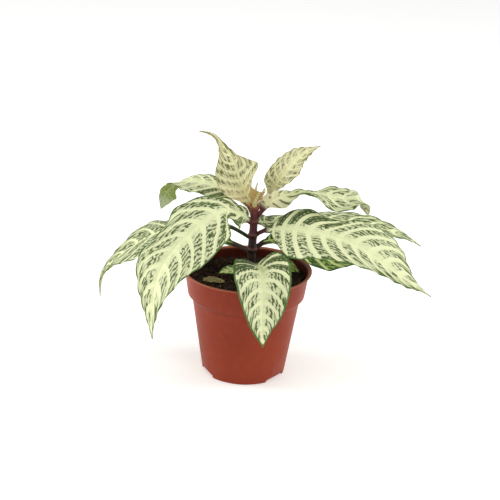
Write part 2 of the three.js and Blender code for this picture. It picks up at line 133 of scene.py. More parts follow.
class Look:
    """A procedural material, built node by node on a Principled shader."""

    def __init__(self, name, **fixed):
        self.material = bpy.data.materials.new(name)
        self.material.use_nodes = True
        self.tree = self.material.node_tree
        self.shader = next(n for n in self.tree.nodes if n.type == "BSDF_PRINCIPLED")
        for socket, value in fixed.items():
            self.shader.inputs[socket.replace("_", " ")].default_value = value

    def feed(self, socket, value):
        if isinstance(value, Signal):
            self.tree.links.new(value.socket, socket)
        else:
            socket.default_value = linear(value) if isinstance(value, str) else value

    def node(self, kind, inputs, output, **settings):
        made = self.tree.nodes.new("ShaderNode" + kind)
        for key, value in settings.items():
            setattr(made, key, value)
        for key, value in inputs.items():
            self.feed(made.inputs[key], value)
        return Signal(self, made.outputs[output])

    def math(self, operation, *values):
        return self.node("Math", dict(enumerate(values)), 0, operation=operation)

    def clamp(self, value):
        return self.node("Clamp", {"Value": value}, 0)

    def step(self, value, low, high):
        """0 at low, 1 at high and smooth between them. The larger of the two may come first."""
        inputs = {"Value": value, "From Min": low, "From Max": high}
        return self.node("MapRange", inputs, "Result", interpolation_type="SMOOTHSTEP")

    def mix(self, factor, first, second):
        inputs = {0: factor, 6: first, 7: second}
        return self.node("Mix", inputs, 2, data_type="RGBA")

    def vector(self, x, y, z):
        return self.node("CombineXYZ", {0: x, 1: y, 2: z}, 0)

    def parts(self, vector):
        split = self.tree.nodes.new("ShaderNodeSeparateXYZ")
        self.feed(split.inputs[0], vector)
        return [Signal(self, socket) for socket in split.outputs]

    def attribute(self, name):
        return self.node("Attribute", {}, "Vector", attribute_name=name)

    def place(self):
        return self.node("TexCoord", {}, "Object")

    def noise(self, vector, scale, detail=2.0, roughness=0.5):
        inputs = {"Vector": vector, "Scale": scale, "Detail": detail, "Roughness": roughness}
        return self.node("TexNoise", inputs, 0)

    def cell_edges(self, vector, scale):
        """The distance to the edges of a net of cells."""
        inputs = {"Vector": vector, "Scale": scale}
        return self.node("TexVoronoi", inputs, "Distance", feature="DISTANCE_TO_EDGE")

    def paint(self, colour, roughness=None, bump=None, depth=0.0001):
        """Sets the surface. A bump of 1 stands as high as depth, in metres."""
        self.feed(self.shader.inputs["Base Color"], colour)
        if roughness is not None:
            self.feed(self.shader.inputs["Roughness"], roughness)
        if bump is not None:
            inputs = {"Height": bump, "Strength": 1.0, "Distance": depth}
            self.feed(self.shader.inputs["Normal"], self.node("Bump", inputs, 0))
        return self.material


# ---- meshes -------------------------------------------------------------------------------


def make_piece(name, points, faces, materials, slots=None, attributes=None, uv=None, sharp=50):
    """A piece from points in millimetres, with its attributes at the points."""
    mesh = bpy.data.meshes.new(name)
    mesh.from_pydata((np.asarray(points) * MM).tolist(), [], faces)
    for material in materials:
        mesh.materials.append(material)
    if slots is not None:
        mesh.polygons.foreach_set("material_index", slots)
    mesh.polygons.foreach_set("use_smooth", [True] * len(mesh.polygons))
    for key, values in (attributes or {}).items():
        layer = mesh.attributes.new(key, "FLOAT_VECTOR", "POINT")
        layer.data.foreach_set("vector", np.asarray(values, np.float32).ravel())
    if uv is not None:
        layer = mesh.uv_layers.new(name="OFBake")
        corners = np.empty(len(mesh.loops), np.int32)
        mesh.loops.foreach_get("vertex_index", corners)
        layer.data.foreach_set("uv", np.asarray(uv, np.float32)[corners].ravel())
    mesh.update()
    mesh.set_sharp_from_angle(angle=math.radians(sharp))
    piece = bpy.data.objects.new(name, mesh)
    bpy.context.collection.objects.link(piece)
    return piece


def settle(piece, node):
    """The piece rides on the root body, in place of the part's solid, which is hidden."""
    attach(piece, "root")
    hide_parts(node)


def ring_faces(rows, columns, first=0):
    """Quads between rings of equally many points, closed round."""
    faces = []
    for r in range(rows - 1):
        for k in range(columns):
            a = first + r * columns + k
            b = first + r * columns + (k + 1) % columns
            faces.append((a, b, b + columns, a + columns))
    return faces


def smoothstep(value, low, high):
    x = np.clip((value - low) / (high - low), 0, 1)
    return x * x * (3 - 2 * x)


# ---- pot ----------------------------------------------------------------------------------

POT_SEGMENTS = 192
POT_SHARP_ANGLE = 35
# Radius and height, from the middle of the bottom out and up to the rim, and then from there
# down the inside of the wall to the middle of the floor.
POT_OUTSIDE = [
    (0, 0), (36, 0), (37.6, 0.1), (38.2, 0.35), (38.55, 1.0), (42.3, 24.5), (46.1, 48.5),
    (49.9, 72.1), (50.15, 72.9), (50.7, 73.6), (53.2, 76.0), (53.9, 76.7), (54.2, 77.5),
    (55.7, 87.5), (57.1, 97.4), (57.3, 98.2), (57.8, 98.8), (58.7, 99.2), (59.5, 99.6),
    (59.9, 100.0), (60, 100.5), (59.8, 100.85), (59.3, 101), (58.6, 100.9),
]
POT_INSIDE = [
    (57.6, 100.5), (56.6, 99.8), (56.0, 99.0), (55.8, 98.2), (54.3, 87.6), (52.8, 77.2),
    (52.3, 76.2), (49.3, 73.5), (48.7, 72.5), (43.8, 41.7), (38.84, 11), (28, 2), (0, 2),
]
NOTCH_ANGLES = (84, 204, 324)
NOTCH_SECTION = [(34, -1), (62, -1), (62, 7.5), (41, 7.5), (34, 0)]
NOTCH_WIDTH = 26
DRAIN_BOX = ((28, 41), (-4.5, 4.5), (2, 4))

# Where the pot's painted shade and painted highlight begin and are full, in metres. The wall leans
# out by WALL_SLOPE.
WALL_SLOPE = 0.14
INNER_SHADE_RADIUS = (0.0434, 0.0424)
INNER_SHADE_FROM = (0.09, 0.092)
BAND_SHADE_FROM = (0.0718, 0.0728)
BAND_SHADE_TO = (0.0772, 0.0762)
RIM_HIGHLIGHT = (0.0992, 0.1008)


def lathe(profile, segments):
    """The points of a profile in radius and height, turned round the pot's axis."""
    angles = np.arange(segments) * 2 * math.pi / segments
    points = []
    for radius, height in profile:
        points += [(radius * math.cos(a), radius * math.sin(a), height) for a in angles]
    return points


def cutter(section, width, angle):
    """A prism across the pot's edge, from a section in radius and height."""
    count = len(section)
    turn = math.radians(angle)
    points = []
    for y in (-width / 2, width / 2):
        for x, z in section:
            points.append((
                x * math.cos(turn) - y * math.sin(turn),
                x * math.sin(turn) + y * math.cos(turn),
                z,
            ))
    sides = [(k, count + k, count + (k + 1) % count, (k + 1) % count) for k in range(count)]
    faces = [tuple(range(count)), tuple(reversed(range(count, 2 * count))), *sides]
    mesh = bpy.data.meshes.new("cutter")
    mesh.from_pydata((np.array(points) * MM).tolist(), [], faces)
    made = bpy.data.objects.new("cutter", mesh)
    bpy.context.collection.objects.link(made)
    return made


def plastic_look():
    look = Look("pot_plastic", Specular_IOR_Level=0.2)
    place = look.place()
    x, y, z = look.parts(place)
    drift = look.noise(place, 14.0, 3.0)
    mottle = look.noise(place, 160.0, 3.0)
    rings = look.noise(look.vector(0.0, 0.0, z), 900.0)
    base = look.mix(look.step(drift, 0.35, 0.68), "#842c10", "#8f3318")
    base = look.mix(look.step(mottle, 0.5, 0.75) * 0.3, base, "#994124")
    radius = look.math("SQRT", x * x + y * y)
    # Painted shade: the inside of the wall above the soil is darkened where shade falls in the
    # pot.
    painted_inner_shade = look.step(radius - z * WALL_SLOPE, *INNER_SHADE_RADIUS)
    painted_inner_shade = painted_inner_shade * look.step(z, *INNER_SHADE_FROM)
    base = look.mix(painted_inner_shade * 0.8, base, "#3c1007")
    # Painted shade: a darker ring in the concave corner under the band, where shade falls.
    painted_band_shade = look.step(z, *BAND_SHADE_FROM) * look.step(z, *BAND_SHADE_TO) * (1 - painted_inner_shade)
    base = look.mix(painted_band_shade * 0.3, base, "#571809")
    # Painted highlight: the top of the rim is lightened where light catches it.
    painted_rim_highlight = look.step(z, *RIM_HIGHLIGHT)
    base = look.mix(painted_rim_highlight * 0.5, base, "#c07a5f")
    scuff = look.step(look.noise(look.vector(x * 3.0, y * 3.0, z), 240.0, 4.0), 0.62, 0.74)
    rough = 0.42 + look.noise(place, 60.0) * 0.14 + scuff * 0.1
    height = rings * 0.5 + mottle * 0.5 + look.noise(place, 1600.0, 1.0) * 0.3
    return look.paint(base, roughness=rough, bump=height, depth=0.00006)


def make_pot():
    profile = POT_OUTSIDE + POT_INSIDE
    inner = profile[1:-1]
    points = [(0, 0, 0), (0, 0, POT_INSIDE[-1][1])] + lathe(inner, POT_SEGMENTS)
    faces = ring_faces(len(inner), POT_SEGMENTS, first=2)
    last = 2 + (len(inner) - 1) * POT_SEGMENTS
    for k in range(POT_SEGMENTS):
        after = (k + 1) % POT_SEGMENTS
        faces.append((0, 2 + after, 2 + k))
        faces.append((1, last + k, last + after))
    pot = make_piece("pot_moulded", points, faces, [plastic_look()])
    tools = []
    (near, far), (low_y, high_y), (bottom, top) = DRAIN_BOX
    drain = [(near, bottom), (far, bottom), (far, top), (near, top)]
    for angle in NOTCH_ANGLES:
        tools.append(cutter(NOTCH_SECTION, NOTCH_WIDTH, angle))
        tools.append(cutter(drain, high_y - low_y, angle))
    for tool in tools:
        cut = pot.modifiers.new("notch", "BOOLEAN")
        cut.operation = "DIFFERENCE"
        cut.solver = "EXACT"
        cut.object = tool
    view = bpy.context.evaluated_depsgraph_get()
    finished = bpy.data.meshes.new_from_object(pot.evaluated_get(view))
    pot.modifiers.clear()
    pot.data = finished
    finished.polygons.foreach_set("use_smooth", [True] * len(finished.polygons))
    finished.set_sharp_from_angle(angle=math.radians(POT_SHARP_ANGLE))
    for tool in tools:
        bpy.data.objects.remove(tool)
    settle(pot, "pot")


# ---- soil ---------------------------------------------------------------------------------

SOIL_TOP = 91
SOIL_SIDE = [(27.7, 2.3), (38.5, 11.3), (48.3, 72.9), (52.5, 77.3)]
SOIL_RADIUS = 54.4
SOIL_RINGS = 62
SOIL_SEGMENTS = 180
SOIL_RISE = 3
SOIL_RISE_AT = 60
HOLLOW_DEPTH = 1.1
FINE_DEPTH = 0.75
EDGE_MARGIN = 1.5
STEM_X = 3
STEM_CLEARANCE = 7
CRUMB_COUNT = 950
GRAIN_COUNT = 16
CRUMB_LEAST = 0.45
CRUMB_SPREAD = 1.7
CRUMB_RARITY = 2.6
LUMP_LIFT = 0.25
GRAIN_SIZES = (0.4, 0.95)
FIBRE_COUNT = 46
FIBRE_LENGTHS = (3, 9)
FIBRE_RADII = (0.16, 0.42)
FIBRE_BENDS = (-0.12, 0.12)
FIBRE_RINGS = 7
FIBRE_SIDES = 5
FIBRE_LIFT = 0.5
FIBRE_END = 0.35
FIBRE_MARGIN = 1
PEAT, FIBRE, GRAIN = 0, 1, 2


def soil_height(x, y):
    """The height of the solid soil: a low mound, raised sides and broad hollows."""
    mound = math.sin(x * 0.09 + 0.6) * math.cos(y * 0.1 - 0.4)
    rise = SOIL_RISE * (x / SOIL_RISE_AT) ** 2
    hollows = math.sin(x * 0.61 + y * 0.23) * math.cos(y * 0.53 - x * 0.17 + 1.3)
    return SOIL_TOP + mound + rise + HOLLOW_DEPTH * hollows


def rough_height(x, y):
    """The soil's height with its fine roughness."""
    fine = noise.fractal(Vector((x * 0.33, y * 0.33, 2.0)), 0.9, 2.1, 4)
    return soil_height(x, y) + FINE_DEPTH * fine


def lump_template():
    """An icosphere with one subdivision, as points and faces."""
    ball = bmesh.new()
    bmesh.ops.create_icosphere(ball, subdivisions=2, radius=1.0)
    points = np.array([v.co[:] for v in ball.verts])
    faces = [tuple(v.index for v in f.verts) for f in ball.faces]
    ball.free()
    return points, faces


def turned(points, draw):
    """The points under a random turn."""
    spin = Quaternion((draw.gauss(0, 1), draw.gauss(0, 1), draw.gauss(0, 1), draw.gauss(0, 1)))
    matrix = np.array(spin.normalized().to_matrix())
    return points @ matrix.T


def spot_on_soil(draw):
    """A random place on the soil's surface, clear of the stem."""
    while True:
        radius = (SOIL_RADIUS - EDGE_MARGIN) * math.sqrt(draw.random())
        angle = draw.uniform(0, 2 * math.pi)
        x, y = radius * math.cos(angle), radius * math.sin(angle)
        if math.hypot(x - STEM_X, y) > STEM_CLEARANCE:
            return x, y


def peat_look():
    look = Look("peat", Specular_IOR_Level=0.25)
    place = look.place()
    tint, _, _ = look.parts(look.attribute("tint"))
    fine = look.noise(place, 900.0, 4.0)
    coarse = look.noise(place, 180.0, 3.0)
    base = look.mix(look.step(coarse, 0.35, 0.7), "#160c08", "#33201a")
    base = look.mix(look.step(fine, 0.5, 0.75) * 0.7, base, "#5a3a28")
    base = look.mix(look.step(tint, 0.55, 1.0) * 0.55, base, "#6b4a30")
    return look.paint(base, roughness=0.93, bump=fine + coarse * 0.6, depth=0.0005)


def bit_look(name, dark, light):
    """A mottled material for dry fibres and pale grains."""
    look = Look(name, Specular_IOR_Level=0.25)
    place = look.place()
    grain = look.noise(place, 1400.0, 3.0)
    base = look.mix(look.step(grain, 0.35, 0.65), dark, light)
    return look.paint(base, roughness=0.85, bump=grain, depth=0.0002)


def make_soil():
    draw = random.Random(41)
    angles = np.arange(SOIL_SEGMENTS) * 2 * math.pi / SOIL_SEGMENTS
    points = lathe(SOIL_SIDE, SOIL_SEGMENTS)
    for n in range(SOIL_RINGS):
        radius = SOIL_RADIUS * (1 - n / SOIL_RINGS)
        for a in angles:
            x, y = radius * math.cos(a), radius * math.sin(a)
            points.append((x, y, rough_height(x, y)))
    rows = len(SOIL_SIDE) + SOIL_RINGS
    faces = ring_faces(rows, SOIL_SEGMENTS)
    points += [(0, 0, SOIL_SIDE[0][1]), (0, 0, rough_height(0, 0))]
    low, top, last = len(points) - 2, len(points) - 1, (rows - 1) * SOIL_SEGMENTS
    for k in range(SOIL_SEGMENTS):
        after = (k + 1) % SOIL_SEGMENTS
        faces.append((low, after, k))
        faces.append((top, last + k, last + after))
    tints = [0.0] * len(points)
    slots = [PEAT] * len(faces)
    ball, ball_faces = lump_template()

    def drop(lump, lump_faces, tint, slot):
        start = len(points)
        points.extend(map(tuple, lump))
        faces.extend(tuple(start + k for k in face) for face in lump_faces)
        tints.extend([tint] * len(lump))
        slots.extend([slot] * len(lump_faces))

    for n in range(CRUMB_COUNT + GRAIN_COUNT):
        grain = n >= CRUMB_COUNT
        x, y = spot_on_soil(draw)
        if grain:
            size = draw.uniform(*GRAIN_SIZES)
        else:
            size = CRUMB_LEAST + CRUMB_SPREAD * draw.random() ** CRUMB_RARITY
        lump = ball.copy()
        for k, p in enumerate(ball):
            lump[k] *= 0.75 + 0.5 * noise.noise(Vector(p * 1.7) + Vector((n * 7.3, 0, 0)))
        lump *= [1, draw.uniform(0.6, 1), draw.uniform(0.5, 0.9)]
        lump = turned(lump, draw) * size + [x, y, rough_height(x, y) + LUMP_LIFT * size]
        drop(lump, ball_faces, draw.random(), GRAIN if grain else PEAT)
    near_end = tuple(reversed(range(FIBRE_SIDES)))
    far_end = tuple(k + (FIBRE_RINGS - 1) * FIBRE_SIDES for k in range(FIBRE_SIDES))
    fibre_faces = ring_faces(FIBRE_RINGS, FIBRE_SIDES) + [near_end, far_end]
    for _ in range(FIBRE_COUNT):
        x, y = spot_on_soil(draw)
        heading = draw.uniform(0, 2 * math.pi)
        length, radius = draw.uniform(*FIBRE_LENGTHS), draw.uniform(*FIBRE_RADII)
        bend = draw.uniform(*FIBRE_BENDS)
        rings = []
        for step in range(FIBRE_RINGS):
            at = (step / (FIBRE_RINGS - 1) - 0.5) * length
            turn = heading + bend * at
            cx, cy = x + at * math.cos(turn), y + at * math.sin(turn)
            if math.hypot(cx, cy) > SOIL_RADIUS - FIBRE_MARGIN:
                scale = (SOIL_RADIUS - FIBRE_MARGIN) / math.hypot(cx, cy)
                cx, cy = cx * scale, cy * scale
            cz = rough_height(cx, cy) + FIBRE_LIFT
            taper = radius * (1.0 if 0 < step < FIBRE_RINGS - 1 else FIBRE_END)
            for k in range(FIBRE_SIDES):
                a = k * 2 * math.pi / FIBRE_SIDES
                rings.append((
                    cx - math.sin(turn) * math.cos(a) * taper,
                    cy + math.cos(turn) * math.cos(a) * taper,
                    cz + math.sin(a) * taper,
                ))
        drop(np.array(rings), fibre_faces, 0.5, FIBRE)
    looks = [
        peat_look(),
        bit_look("peat_fibre", "#4b3520", "#8a6b42"),
        bit_look("peat_grain", "#a79f90", "#d8d3c6"),
    ]
    flat = [(tint, 0, 0) for tint in tints]
    soil = make_piece("soil_peat", points, faces, looks, slots, {"tint": flat}, sharp=80)
    settle(soil, "soil")


# ---- stem ---------------------------------------------------------------------------------

STEM_BOTTOM = (2.6, 78)
STEM_TOP = (4.8, 165)
STEM_RADII = (4.6, 3.3)
STEM_SEGMENTS = 40
STEM_STEP = 0.75
NODE_HEIGHTS = (96, 104, 120, 134, 147, 160)
NODE_SWELL = 0.9
NODE_REACH = 2.0
GROOVE_DEPTH = 0.3
GROOVE_RISE = 1.6
GROOVE_REACH = 0.45
SCAR_RISE = 1.2
SCAR_REACH = 0.8
TOP_ROUNDING = 3
STEM_FOOT_COLOUR = "#170b0a"
# The colours above it, each with the heights in metres where it begins and is full.
STEM_COLOURS = (
    ("#22100f", 0.094, 0.128),
    ("#4a1b1f", 0.128, 0.146),
    ("#7a3c2a", 0.150, 0.163),
)


def stem_look():
    look = Look("stem_skin", Specular_IOR_Level=0.3)
    place = look.place()
    x, y, z = look.parts(place)
    streak = look.noise(look.vector(x * 4.0, y * 4.0, z), 260.0, 3.0)
    fine = look.noise(place, 1500.0, 3.0)
    base = STEM_FOOT_COLOUR
    for colour, low, high in STEM_COLOURS:
        base = look.mix(look.step(z, low, high), base, colour)
    base = look.mix(look.step(streak, 0.48, 0.72) * 0.4, base, "#6a3d39")
    base = look.mix(look.step(fine, 0.6, 0.75) * 0.25, base, "#856659")
    scar, _, _ = look.parts(look.attribute("scar"))
    base = look.mix(scar * 0.35, base, "#8e574d")
    return look.paint(base, roughness=0.46, bump=streak + fine * 0.3, depth=0.0003)


def make_stem():
    heights = np.arange(STEM_BOTTOM[1], STEM_TOP[1] + 0.01, STEM_STEP)
    points, scars = [], []
    for z in heights:
        t = (z - STEM_BOTTOM[1]) / (STEM_TOP[1] - STEM_BOTTOM[1])
        x = STEM_BOTTOM[0] + (STEM_TOP[0] - STEM_BOTTOM[0]) * t
        radius = STEM_RADII[0] + (STEM_RADII[1] - STEM_RADII[0]) * t
        scar = 0.0
        for node in NODE_HEIGHTS:
            radius += NODE_SWELL * math.exp(-((z - node) / NODE_REACH) ** 2)
            radius -= GROOVE_DEPTH * math.exp(-((z - node - GROOVE_RISE) / GROOVE_REACH) ** 2)
            scar = max(scar, math.exp(-((z - node - SCAR_RISE) / SCAR_REACH) ** 2))
        into_top = max(0, (z - STEM_TOP[1] + TOP_ROUNDING) / TOP_ROUNDING)
        radius *= math.sqrt(max(1 - into_top ** 2, 0.02))
        for k in range(STEM_SEGMENTS):
            a = k * 2 * math.pi / STEM_SEGMENTS
            bump = 1 + 0.05 * noise.noise(Vector((2 * math.cos(a), 2 * math.sin(a), z * 0.16)))
            points.append((x + radius * bump * math.cos(a), radius * bump * math.sin(a), z))
            scars.append((scar, 0, 0))
    faces = ring_faces(len(heights), STEM_SEGMENTS)
    last = (len(heights) - 1) * STEM_SEGMENTS
    faces.append(tuple(reversed(range(STEM_SEGMENTS))))
    faces.append(tuple(range(last, last + STEM_SEGMENTS)))
    stem = make_piece("stem_noded", points, faces, [stem_look()], attributes={"scar": scars})
    settle(stem, "stem")


# ---- dry chip -----------------------------------------------------------------------------

CHIP_LENGTH = 20
CHIP_WIDTH = 11
CHIP_PLACE = (-30, -18)
CHIP_TURN = math.radians(-6)
CHIP_HEIGHT = 93.1
CHIP_HALF_THICKNESS = 0.35
CHIP_LEFT_LIFT = 0.35
CHIP_BACK_LIFT = 0.45
CHIP_ROWS = 40
CHIP_HALF_COLUMNS = 10


def chip_look():
    look = Look("chip_dry", Specular_IOR_Level=0.25)
    x, y, _ = look.parts(look.attribute("grain"))
    fibres = look.noise(look.vector(x * 0.18, y * 2.2, 0.0), 1.0, 4.0)
    patch = look.noise(look.vector(x, y, 3.0), 0.35, 3.0)
    base = look.mix(look.step(fibres, 0.3, 0.7), "#4a4424", "#b5ad7c")
    base = look.mix(look.step(patch, 0.5, 0.68) * 0.8, base, "#8a5a3a")
    return look.paint(base, roughness=0.85, bump=fibres, depth=0.0004)


def make_chip():
    rows, half = CHIP_ROWS, CHIP_HALF_COLUMNS
    columns = 2 * half + 1
    top, low, grain = [], [], []
    for r in range(rows + 1):
        t = r / rows
        x = (t - 0.5) * CHIP_LENGTH
        width = CHIP_WIDTH / 2 * (0.12 + 0.88 * math.sin(math.pi * min(1, 0.1 + t * 0.86)) ** 0.8)
        for k in range(-half, half + 1):
            u = k / half
            ragged = 1 + 0.14 * noise.noise(Vector((x * 0.7, 5 * u, 1.0)))
            y = u * width * ragged * 0.78 + 0.5 * math.sin(t * 5)
            px = CHIP_PLACE[0] + x * math.cos(CHIP_TURN) - y * math.sin(CHIP_TURN)
            py = CHIP_PLACE[1] + x * math.sin(CHIP_TURN) + y * math.cos(CHIP_TURN)
            curl = 0.9 * u * u + 0.5 * noise.noise(Vector((px * 0.35, py * 0.9, 0)))
            pz = CHIP_HEIGHT + curl + CHIP_LEFT_LIFT * (1 - t) + CHIP_BACK_LIFT * max(y, 0)
            top.append((px, py, pz + CHIP_HALF_THICKNESS))
            low.append((px, py, pz - CHIP_HALF_THICKNESS * (1 - 0.6 * abs(u))))
            grain.append((x, y, 0))
    count = len(top)
    faces = []
    for r in range(rows):
        for k in range(columns - 1):
            a = r * columns + k
            faces.append((a, a + columns, a + columns + 1, a + 1))
            b = a + count
            faces.append((b, b + 1, b + columns + 1, b + columns))
    rim = list(range(columns))
    rim += [r * columns + columns - 1 for r in range(1, rows + 1)]
    rim += [rows * columns + k for k in range(columns - 2, -1, -1)]
    rim += [r * columns for r in range(rows - 1, 0, -1)]
    for a, b in zip(rim, rim[1:] + rim[:1]):
        faces.append((a, b, b + count, a + count))
    chip = make_piece("dry_chip_flake", top + low, faces, [chip_look()],
                      attributes={"grain": grain * 2})
    settle(chip, "dry_chip")


# ---- leaves -------------------------------------------------------------------------------
# The numbers of each leaf are those of the solid model, in millimetres and degrees.

LEAF_THICKNESS = 0.5
MARGIN_THINNING = 0.5
PETIOLE_HALF_WIDTH = 2.1
PETIOLE_DEPTH = 2.6
TIP_HALF_WIDTH = 0.5
KEEL_HALF_WIDTH = 1.7
KEEL_SPREAD = 1.3
KEEL_END_DEPTH = 0.35
MIDRIB_HALF_WIDTH = 1.1
MIDRIB_DEPTH = 0.28
MIDRIB_TAPER = 0.6
VEIN_SWEEP = 0.19
VEIN_ARCH = 1.8
VEIN_CROWDING = 1.18
QUILT = 0.5
QUILT_SHARPNESS = 2.2
MARGIN_WAVE_RATE = 19
MARGIN_WAVE_SHIFT = 1.7
MARGIN_FRILL = 0.3
BLADE_BEGINS = (-0.12, 0.02)
TANGENT_STEP = 0.002
ROWS_TO_A_VEIN = 12
STALK_ROWS = 16
PATTERN_SPACING = 311
DASHES_A_MM = 0.28
SPECK_LENGTH = 0.29
SOLID_LENGTH = 0.7
BASE_MARKINGS_END = (0.34, 0.12)
USUAL_MARKS = (("tan", 0), ("inner", 0.3), ("clean", 0.1))
HALF_COLUMNS = 20
UPPER, UNDER = 0, 1
UV_ACROSS = (0.01, 0.48)
UV_ALONG = (0.01, 0.99)
UV_UNDER_SHIFT = 0.51


def along(values, t):
    """A smooth curve through values spaced evenly over 0..1."""
    knots = np.asarray(values, float)
    last = len(knots) - 1
    x = np.clip(t, 0, 1) * last
    i = np.minimum(x.astype(int), last - 1)
    f = x - i
    padded = np.concatenate([[2 * knots[0] - knots[1]], knots, [2 * knots[-1] - knots[-2]]])
    a, b, c, d = (padded[i + k] for k in range(4))
    if knots.ndim == 2:
        f = f[..., None]
    square = 2 * a - 5 * b + 4 * c - d
    cube = 3 * b - a - 3 * c + d
    return 0.5 * (2 * b + (c - a) * f + square * f * f + cube * f * f * f)


def unit(vectors):
    return vectors / np.linalg.norm(vectors, axis=-1, keepdims=True)


def leaf_surface(leaf):
    """The grid of a leaf: its upper and lower points and what its materials read at them."""
    spans = len(leaf["path"]) - 1
    start = leaf["petiole"] / spans
    veins, stalk = leaf["veins"], leaf.get("stalk", 1)
    counted = np.linspace(0, veins, veins * ROWS_TO_A_VEIN + 1)
    blade_rows = start + (1 - start) * (counted / veins) ** VEIN_CROWDING
    stalk_rows = np.linspace(0, start, STALK_ROWS, endpoint=False)
    s = np.concatenate([stalk_rows, blade_rows])[:, None]
    stalk_phases = (stalk_rows - start) / (1 - start) * veins
    phase = np.concatenate([stalk_phases, counted])[:, None]
    u = np.linspace(-1, 1, 2 * HALF_COLUMNS + 1)[None, :]
    reach, side = np.abs(u), np.where(u > 0, 1.0, -1.0)

    row_blade = (s - start) / (1 - start)
    near = np.maximum(row_blade, 0)
    phase = phase + 0 * u
    sweep = VEIN_SWEEP * 4 * near * (1 - near) * reach ** VEIN_ARCH
    place = np.minimum(s + sweep * (1 - start), 1)
    blade = (place - start) / (1 - start)
    t = np.maximum(blade, 0)
    on_blade = smoothstep(blade, *BLADE_BEGINS)
    width = np.where(u < 0, along(leaf["left"], t), along(leaf["right"], t))
    half = PETIOLE_HALF_WIDTH * stalk * (1 - on_blade)
    half = half + np.maximum(width, TIP_HALF_WIDTH) * on_blade

    path = leaf["path"]
    ahead = along(path, np.minimum(place + TANGENT_STEP, 1))
    tangent = unit(ahead - along(path, np.maximum(place - TANGENT_STEP, 0)))
    face = along(leaf["face"], t)
    normal = unit(face - tangent * np.sum(face * tangent, -1, keepdims=True))
    across = np.cross(tangent, normal) * side[..., None]

    fold = np.radians(along(leaf["fold"], t))
    bend = np.radians(along(leaf["curl"], t))
    bend = np.where(np.abs(bend) < 1e-3, 1e-3, bend)
    slope = fold - bend * reach
    out = (np.sin(fold) - np.sin(slope)) / bend
    up = (np.cos(slope) - np.cos(fold)) / bend
    skinward = unit(normal * np.cos(slope)[..., None] - across * np.sin(slope)[..., None])
    skinward[:, HALF_COLUMNS] = normal[:, HALF_COLUMNS]

    off_vein = np.abs(phase - np.floor(phase) - 0.5)
    puff = leaf.get("quilt", QUILT) * (1 - 2 * (1 - 2 * off_vein) ** QUILT_SHARPNESS)
    puff = puff * np.minimum(reach * 2, 1)
    shift = np.where(u > 0, MARGIN_WAVE_SHIFT, 0)
    ripple = np.sin(blade * MARGIN_WAVE_RATE + shift) * leaf["wave"] * reach ** 3
    frill = MARGIN_FRILL * np.sin(phase * 2 * math.pi + 1.0) * reach ** 5
    frill = frill * min(leaf["wave"], 1)
    fade = np.minimum(1, 2 * np.sin(np.pi * np.clip(blade, 0, 1)))
    x_mm = reach * half
    taper = 1 - MIDRIB_TAPER * t
    rib = MIDRIB_HALF_WIDTH * stalk * taper
    groove = MIDRIB_DEPTH * stalk * np.exp(-((x_mm / rib) ** 2)) * on_blade * taper
    lift = np.where(blade > 0, (puff + ripple + frill) * fade, 0) - groove
    point = along(path, place) + across * (half * out)[..., None]
    point = point + normal * (half * up)[..., None] + skinward * lift[..., None]

    skin = LEAF_THICKNESS / 2 * (1 - MARGIN_THINNING * reach ** 4)
    stalk_depth = PETIOLE_DEPTH * stalk
    keel_half = KEEL_SPREAD * KEEL_HALF_WIDTH * stalk * taper
    keel_depth = stalk_depth * (1 - np.minimum(t * 1.6, 1)) + KEEL_END_DEPTH
    keel = keel_depth * np.exp(-((x_mm / keel_half) ** 2))
    round_stalk = stalk_depth * np.sqrt(np.maximum(1 - reach ** 2, 0)) + 0 * s
    depth = round_stalk * (1 - on_blade) + keel * on_blade
    upper = point + skinward * skin[..., None]
    lower = point - skinward * (skin + depth)[..., None]

    midline = along(path, np.linspace(start, 1, 60))
    length = np.linalg.norm(np.diff(midline, axis=0), axis=1).sum()
    ones = np.ones_like(phase)
    dark, specks = leaf["dark"], leaf["specks"]
    halves = 0.5 + 0.5 * np.clip(u * 6, -1, 1)
    y_mm = phase * length / veins + leaf["seed"] * PATTERN_SPACING
    reads = {
        "leaf": np.stack([u * ones, phase, blade], -1),
        "flat": np.stack([u * half, y_mm, (1 - reach) * half], -1),
        "tone": np.stack([
            (dark[0] + (dark[1] - dark[0]) * halves) * ones,
            (specks[0] + (specks[1] - specks[0]) * halves) * ones,
            leaf["rim"] * ones,
        ], -1),
        "base": np.stack([leaf.get(key, usual) * ones for key, usual in USUAL_MARKS], -1),
        "stalk": ones[..., None] * np.array(linear(leaf["stalk_colour"])[:3]),
    }
    return upper, lower, reads


